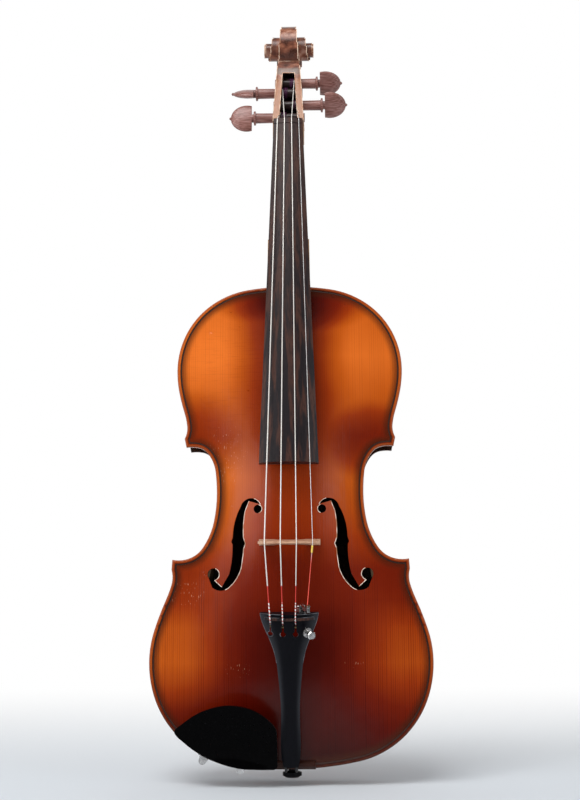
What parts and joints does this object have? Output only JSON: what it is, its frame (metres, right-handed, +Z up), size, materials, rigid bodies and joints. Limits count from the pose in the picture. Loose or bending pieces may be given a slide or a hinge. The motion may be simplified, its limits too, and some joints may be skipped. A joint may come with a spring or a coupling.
{
  "type": "violin",
  "caption": "Full-size violin: arched front and back, f-holes, carved scroll, turning pegs, tailpiece with fine tuner, and a clamped chin rest.",
  "frame": {"origin": "centre line, middle of the rib depth, level with the lower edge of the plates", "axes": "+Z up the instrument to the scroll, -Y out of the front with the strings, +X to the treble side"},
  "size_m": [0.2064, 0.1039, 0.5833],
  "materials": {
    "spruce_front": "golden to red-brown spirit varnish, satin gloss",
    "purfling": "dark inlay under varnish",
    "maple_back": "flamed maple under red-brown varnish",
    "maple_ribs": "flamed maple under red-brown varnish",
    "inner_spruce": "bare wood",
    "maple_neck": "maple, varnished head and oiled neck",
    "ebony": "polished ebony",
    "fret_bone": "ebony fret",
    "peg_wood": "satin rosewood",
    "bridge_maple": "bare maple",
    "string_wound": "flat-wound metal",
    "string_plain": "plain steel",
    "string_silk": "purple silk wrapping",
    "sleeve_plastic": "yellow plastic sleeve",
    "ball_brass": "plain",
    "tail_cord": "black nylon",
    "cord_nut": "plain",
    "tuner_nickel": "nickel plated",
    "tuner_steel": "plain",
    "cork": "cork",
    "clamp_metal": "nickel plated"
  },
  "bodies": {
    "violin": {"back_linings": "inner_spruce", "back_plate": "maple_back", "back_purfling": "purfling", "bass_bar": "inner_spruce", "bridge": "bridge_maple", "chinrest_cork": "cork", "chinrest_plate": "ebony", "clamp_bracket": "clamp_metal", "end_block": "inner_spruce", "end_button": "ebony", "fingerboard": "ebony", "front_linings": "inner_spruce", "front_purfling": "purfling", "lower_corner_block_bass": "inner_spruce", "lower_corner_block_treble": "inner_spruce", "lower_rib_bass": "maple_ribs", "lower_rib_treble": "maple_ribs", "neck_block": "inner_spruce", "neck_scroll": "maple_neck", "nut": "ebony", "saddle": "ebony", "sound_post": "inner_spruce", "string_a": "string_wound", "string_balls": "ball_brass", "string_d": "string_wound", "string_e": "string_plain", "string_g": "string_wound", "string_sleeve": "sleeve_plastic", "tailgut": "tail_cord", "tailgut_nuts": "cord_nut", "tailpiece": "ebony", "tailpiece_fret": "fret_bone", "top_plate": "spruce_front", "tuner_frame": "tuner_nickel", "tuner_nut": "tuner_nickel", "tuner_pin": "tuner_steel", "upper_corner_block_bass": "inner_spruce", "upper_corner_block_treble": "inner_spruce", "upper_rib_bass": "maple_ribs", "upper_rib_treble": "maple_ribs", "waist_rib_bass": "maple_ribs", "waist_rib_treble": "maple_ribs"},
    "peg_g": {"peg_g": "peg_wood", "winding_g": "string_silk"},
    "peg_e": {"peg_e": "peg_wood", "winding_e": "string_silk"},
    "peg_d": {"peg_d": "peg_wood", "winding_d": "string_silk"},
    "peg_a": {"peg_a": "peg_wood", "winding_a": "string_silk"},
    "tuner_screw": {"tuner_screw": "tuner_steel"},
    "tuner_knob": {"tuner_knob": "tuner_nickel"},
    "tuner_lever": {"tuner_lever": "tuner_nickel", "string_e_ball": "ball_brass"},
    "barrel_inner": {"clamp_barrel_inner": "clamp_metal"},
    "barrel_outer": {"clamp_barrel_outer": "clamp_metal"},
    "clamp_foot": {"clamp_foot": "clamp_metal", "clamp_cork": "cork"}
  },
  "joints": [
    {"name": "peg_g_turn", "type": "hinge", "parent": "violin", "child": "peg_g", "pos_m": [0, 0.00063, 0.49376], "axis": [-1, 0, 0], "continuous": true, "deforming": ["string_g"]},
    {"name": "peg_e_turn", "type": "hinge", "parent": "violin", "child": "peg_e", "pos_m": [0, 0.00375, 0.50488], "axis": [1, 0, 0], "continuous": true, "deforming": ["string_e"]},
    {"name": "peg_d_turn", "type": "hinge", "parent": "violin", "child": "peg_d", "pos_m": [0, 0.00623, 0.516], "axis": [-1, 0, 0], "continuous": true, "deforming": ["string_d"]},
    {"name": "peg_a_turn", "type": "hinge", "parent": "violin", "child": "peg_a", "pos_m": [0, 0.00792, 0.52446], "axis": [1, 0, 0], "continuous": true, "deforming": ["string_a"]},
    {"name": "tuner_screw_travel", "type": "slide", "parent": "violin", "child": "tuner_screw", "axis": [-0.3746, 0.9, 0.2227], "range_m": [0, 0.0016]},
    {"name": "tuner_knob_turn", "type": "hinge", "parent": "tuner_screw", "child": "tuner_knob", "pos_m": [0.012, -0.05171, 0.09778], "axis": [-0.3746, 0.9, 0.2227], "range_deg": [0, 1153]},
    {"name": "tuner_lever_tilt", "type": "hinge", "parent": "violin", "child": "tuner_lever", "pos_m": [0.00822, -0.04642, 0.11537], "axis": [0.9272, 0.3636, 0.09], "range_deg": [0, 6.6]},
    {"name": "barrel_inner_turn", "type": "hinge", "parent": "violin", "child": "barrel_inner", "pos_m": [-0.0364, 0, -0.00004], "axis": [0, 1, 0], "range_deg": [0, 721]},
    {"name": "barrel_outer_turn", "type": "hinge", "parent": "violin", "child": "barrel_outer", "pos_m": [-0.06368, 0, 0.00625], "axis": [0, 1, 0], "range_deg": [0, 721]},
    {"name": "clamp_foot_travel", "type": "slide", "parent": "violin", "child": "clamp_foot", "axis": [0, 1, 0], "range_m": [0, 0.002]}
  ],
  "couplings": [
    {"joint": "tuner_knob_turn", "follows": "tuner_screw_travel", "rad_per_m": 12566},
    {"joint": "tuner_lever_tilt", "follows": "tuner_screw_travel", "rad_per_m": 70.423},
    {"joint": "barrel_inner_turn", "follows": "clamp_foot_travel", "rad_per_m": 6283.2},
    {"joint": "barrel_outer_turn", "follows": "clamp_foot_travel", "rad_per_m": 6283.2}
  ]
}
